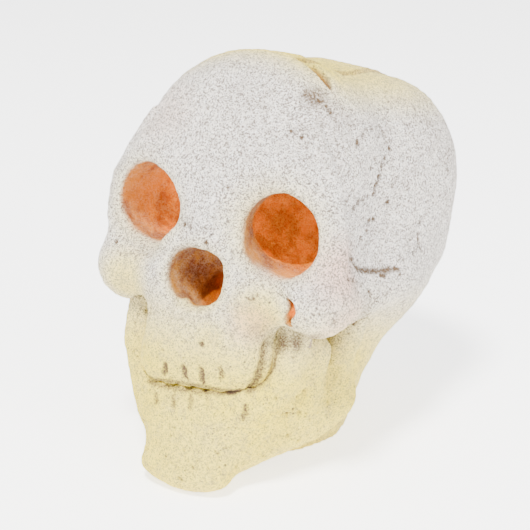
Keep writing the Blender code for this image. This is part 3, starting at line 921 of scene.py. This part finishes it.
def add_floor():
    """A plain pale floor, bright enough to lift the skull's underside."""
    shape = bmesh.new()
    bmesh.ops.create_grid(shape, x_segments=2, y_segments=2, size=FLOOR_HALF_SIDE)
    mesh = bpy.data.meshes.new("floor")
    shape.to_mesh(mesh)
    shape.free()
    floor = bpy.data.objects.new("floor", mesh)
    pale = bpy.data.materials.new("Pale floor")
    pale.use_nodes = True
    shader = pale.node_tree.nodes["Principled BSDF"]
    shader.inputs["Base Color"].default_value = FLOOR_WHITE
    shader.inputs["Roughness"].default_value = 0.9
    shader.inputs["Emission Color"].default_value = WHITE
    shader.inputs["Emission Strength"].default_value = FLOOR_GLOW
    mesh.materials.append(pale)
    bpy.context.scene.collection.objects.link(floor)


# --- Materials ---


class Nodes:
    """Adds and joins the nodes of one material."""

    def __init__(self, name):
        self.material = bpy.data.materials.new(name)
        self.material.use_nodes = True
        self.tree = self.material.node_tree
        self.shader = self.tree.nodes["Principled BSDF"]
        self.place = self.tree.nodes.new("ShaderNodeTexCoord").outputs["Object"]

    def add(self, kind, inputs=(), **settings):
        """A node of this kind, with its inputs fed and its settings made."""
        node = self.tree.nodes.new(kind)
        for key, value in settings.items():
            setattr(node, key, value)
        for key, value in dict(inputs).items():
            self.feed(node.inputs[key], value)
        return node

    def feed(self, socket, value):
        """Links another node's output to a socket, or sets the socket's own value."""
        if isinstance(value, bpy.types.NodeSocket):
            self.tree.links.new(value, socket)
        else:
            socket.default_value = value

    def noise(self, cell, detail=2.0, roughness=0.5):
        """Noise from 0 to 1 with features of about this many millimetres."""
        inputs = {"Vector": self.place, "Scale": 1.0 / (cell * MM), "Detail": detail,
                  "Roughness": roughness}
        return self.add("ShaderNodeTexNoise", inputs).outputs["Fac"]

    def ramp(self, value, low, high, start=0.0, end=1.0):
        """The value's stretch from low to high, mapped to start to end."""
        inputs = {"Value": value, "From Min": low, "From Max": high, "To Min": start, "To Max": end}
        node = self.add("ShaderNodeMapRange", inputs, interpolation_type="SMOOTHSTEP")
        return node.outputs["Result"]

    def maths(self, operation, first, second):
        """The outcome of one sum on two values."""
        node = self.add("ShaderNodeMath", {0: first, 1: second}, operation=operation)
        return node.outputs[0]

    def mix(self, share, first, second):
        """The first colour, with this share of it replaced by the second."""
        node = self.add("ShaderNodeMix", data_type="RGBA")
        self.feed(node.inputs[0], share)
        self.feed(node.inputs[6], first)
        self.feed(node.inputs[7], second)
        return node.outputs[2]

    def cells(self, size):
        """Cells of about this many millimetres: distance from the middle, and random channels."""
        inputs = {"Vector": self.place, "Scale": 1.0 / (size * MM), "Randomness": 1.0}
        cells = self.add("ShaderNodeTexVoronoi", inputs)
        split = self.add("ShaderNodeSeparateColor", {"Color": cells.outputs["Color"]})
        return cells.outputs["Distance"], split.outputs

    def grains(self, size):
        """A random value for each grain of sand, from 0 to 1."""
        return self.cells(size)[1][1]

    def pores(self, cell, size, share):
        """1 in round pores, about one to each cell, of which only a share is there."""
        distance, channels = self.cells(cell)
        inside = self.ramp(distance, 0.6 * size / cell, size / cell, 1.0, 0.0)
        there = self.maths("LESS_THAN", channels[0], share)
        return self.maths("MULTIPLY", inside, there)


def rgb(red, green, blue):
    """An opaque colour."""
    return (red, green, blue, 1.0)


COARSE_GRAIN = 0.66
FINE_GRAIN = 0.45
RELIEF = 1.0  # height of the bump, like the grains in millimetres
PALE_GRAIN = rgb(0.97, 0.95, 0.92)
DARK_GRAIN = rgb(0.16, 0.12, 0.09)
DARK_FINE_GRAIN = rgb(0.18, 0.14, 0.11)
GREY_BLOTCH = rgb(0.64, 0.59, 0.54)
BROWN_PATCH = rgb(0.38, 0.30, 0.24)
PAINTED_ROSE_GLOW_TINT = rgb(0.92, 0.48, 0.32)
PAINTED_PORE_SHADE = rgb(0.10, 0.075, 0.06)
# Painted firelight glow with heat tint inside the openings: orange, and a deeper red
GLOW_AND_HEAT_ORANGE = rgb(0.42, 0.165, 0.012)
GLOW_AND_SCORCH_RED = rgb(0.19, 0.05, 0.006)
# Base colour, colour of the painted firelight glow, and colour of the painted shade and dark joint
# lines
CERAMIC = (rgb(0.89, 0.83, 0.75), rgb(1.0, 0.79, 0.05), rgb(0.13, 0.08, 0.045))
# Colours of the mortars' painted firelight glow and of their painted shade and dark joint lines
MORTAR_GLOW_AND_SHADE_TINTS = (rgb(0.96, 0.70, 0.04), rgb(0.12, 0.075, 0.04))
JOINT_MORTAR = (rgb(0.86, 0.80, 0.71), *MORTAR_GLOW_AND_SHADE_TINTS)
BEDDING_MORTAR = (rgb(0.62, 0.46, 0.25), *MORTAR_GLOW_AND_SHADE_TINTS)


def cast_material(name, base, painted_glow_tint, shade_and_joint_tint):
    """Sandy unglazed ceramic: speckled and pored, with painted shade in its creases and pores and
    dark joint lines, painted cream and rose firelight glow, and painted firelight glow with heat tint
    inside.
    """
    nodes = Nodes(name)
    marks = nodes.add("ShaderNodeVertexColor", layer_name="marks")
    channels = nodes.add("ShaderNodeSeparateColor", {"Color": marks.outputs["Color"]})
    painted_shade_and_joints, painted_glow, painted_rose_glow = (channels.outputs[index] for index in range(3))
    depth = marks.outputs["Alpha"]

    blotches = nodes.noise(26.0, 4.0, 0.6)
    patches = nodes.noise(5.0, 3.0, 0.6)
    sand = nodes.noise(0.9, 2.0, 0.7)
    coarse = nodes.grains(COARSE_GRAIN)
    fine = nodes.grains(FINE_GRAIN)
    colour = nodes.mix(nodes.ramp(blotches, 0.38, 0.66, 0.0, 0.4), base, GREY_BLOTCH)
    colour = nodes.mix(nodes.ramp(coarse, 0.68, 0.96, 0.0, 0.8), colour, PALE_GRAIN)
    # Painted cream firelight glow, a little patchy
    painted_glow_share = nodes.maths("MULTIPLY", painted_glow, nodes.ramp(blotches, 0.2, 0.75, 1.0, 0.85))
    colour = nodes.mix(painted_glow_share, colour, painted_glow_tint)
    # Painted rose firelight glow
    colour = nodes.mix(nodes.maths("MULTIPLY", painted_rose_glow, 0.8), colour, PAINTED_ROSE_GLOW_TINT)
    colour = nodes.mix(nodes.ramp(patches, 0.36, 0.5, 0.22, 0.0), colour, BROWN_PATCH)
    # Fewer dark speckles where the painted firelight glow lies
    speckled = nodes.ramp(painted_glow, 0.1, 1.0, 1.0, 0.6)
    dark_coarse = nodes.maths("MULTIPLY", speckled, nodes.ramp(coarse, 0.06, 0.32, 0.85, 0.0))
    colour = nodes.mix(dark_coarse, colour, DARK_GRAIN)
    dark_fine = nodes.maths("MULTIPLY", speckled, nodes.ramp(fine, 0.08, 0.42, 0.85, 0.0))
    colour = nodes.mix(dark_fine, colour, DARK_FINE_GRAIN)
    # Painted shade of creases, dents and hollows, with the dark joint lines, in dark brown
    edge = nodes.maths("MULTIPLY", painted_shade_and_joints, nodes.ramp(sand, 0.35, 0.6, 1.3, 0.7))
    colour = nodes.mix(nodes.ramp(edge, 0.08, 1.0), colour, shade_and_joint_tint)
    # Painted shade in the pores
    pores = nodes.maths("MAXIMUM", nodes.pores(2.0, 0.40, 0.30), nodes.pores(5.2, 0.65, 0.35))
    colour = nodes.mix(nodes.maths("MULTIPLY", pores, 0.8), colour, PAINTED_PORE_SHADE)
    # Inside the openings: painted firelight glow with heat tint, orange with patches of red
    inner_glow_share = nodes.maths("MULTIPLY", depth, nodes.ramp(patches, 0.3, 0.7, 0.85, 1.0))
    redder_share = nodes.ramp(nodes.noise(15.0, 5.0, 0.7), 0.42, 0.62)
    inner_glow_and_heat_tint = nodes.mix(redder_share, GLOW_AND_HEAT_ORANGE, GLOW_AND_SCORCH_RED)
    colour = nodes.mix(nodes.maths("MULTIPLY", inner_glow_share, 0.95), colour, inner_glow_and_heat_tint)
    nodes.feed(nodes.shader.inputs["Base Color"], colour)
    nodes.feed(nodes.shader.inputs["Roughness"], nodes.ramp(sand, 0.3, 0.7, 0.98, 0.86))
    nodes.shader.inputs["Specular IOR Level"].default_value = 0.25

    coarse_height = nodes.maths("MULTIPLY", coarse, 0.5)
    fine_height = nodes.maths("MULTIPLY", fine, 0.3)
    height = nodes.maths("ADD", coarse_height, fine_height)
    height = nodes.maths("ADD", height, sand)
    height = nodes.maths("SUBTRACT", height, pores)
    bump = nodes.add("ShaderNodeBump", {"Height": height, "Strength": 1.0, "Distance": RELIEF * MM})
    nodes.feed(nodes.shader.inputs["Normal"], bump.outputs["Normal"])
    return nodes.material


def steel_material():
    """Bar scaled by the heat: grey metal under brown and blue-black oxide."""
    nodes = Nodes("Scaled steel")
    patches = nodes.noise(5.0, 5.0, 0.65)
    colour = nodes.mix(nodes.ramp(patches, 0.4, 0.6), rgb(0.36, 0.34, 0.33), rgb(0.16, 0.085, 0.05))
    nodes.feed(nodes.shader.inputs["Base Color"], colour)
    nodes.feed(nodes.shader.inputs["Metallic"], nodes.ramp(patches, 0.42, 0.58, 1.0, 0.25))
    nodes.feed(nodes.shader.inputs["Roughness"], nodes.ramp(patches, 0.35, 0.65, 0.42, 0.85))
    scale = nodes.noise(0.8, 3.0, 0.6)
    bump = nodes.add("ShaderNodeBump", {"Height": scale, "Strength": 0.5, "Distance": 0.2 * MM})
    nodes.feed(nodes.shader.inputs["Normal"], bump.outputs["Normal"])
    return nodes.material


def add_castings(ceramic, mortar):
    """The four castings, and the three mortars that are cut from the same surface."""
    castings, mortars = split_upper(*casting_surface(upper_head))
    for node, mesh in castings.items():
        add_piece(node + "_cast", mesh, node, ceramic)
    for node, mesh in mortars.items():
        add_piece(node + "_fill", mesh, node, mortar)
    jaw_mesh = mesh_from("lower_jaw", *casting_surface(jaw))
    add_piece("lower_jaw_cast", jaw_mesh, "lower_jaw_casting", ceramic)


def dress_cad_nodes(steel, mortar):
    """Materials for the CAD nodes that stay: rods, dowels and the mortar that holds the jaw."""
    for name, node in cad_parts.items():
        if node.hide_render:
            continue
        node.data.materials.clear()
        node.data.materials.append(steel if name.endswith(("rod", "dowel")) else mortar)


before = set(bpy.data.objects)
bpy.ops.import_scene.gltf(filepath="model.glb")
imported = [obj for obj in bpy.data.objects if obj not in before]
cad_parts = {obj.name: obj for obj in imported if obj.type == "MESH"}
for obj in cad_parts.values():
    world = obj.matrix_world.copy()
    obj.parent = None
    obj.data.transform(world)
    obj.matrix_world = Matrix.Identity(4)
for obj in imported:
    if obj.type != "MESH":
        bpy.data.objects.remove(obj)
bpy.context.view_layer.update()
add_camera()
add_studio()
add_burner_glow()
add_floor()
add_castings(
    cast_material("Cast ceramic", *CERAMIC), cast_material("Refractory mortar", *JOINT_MORTAR))
dress_cad_nodes(steel_material(), cast_material("Bedding mortar", *BEDDING_MORTAR))
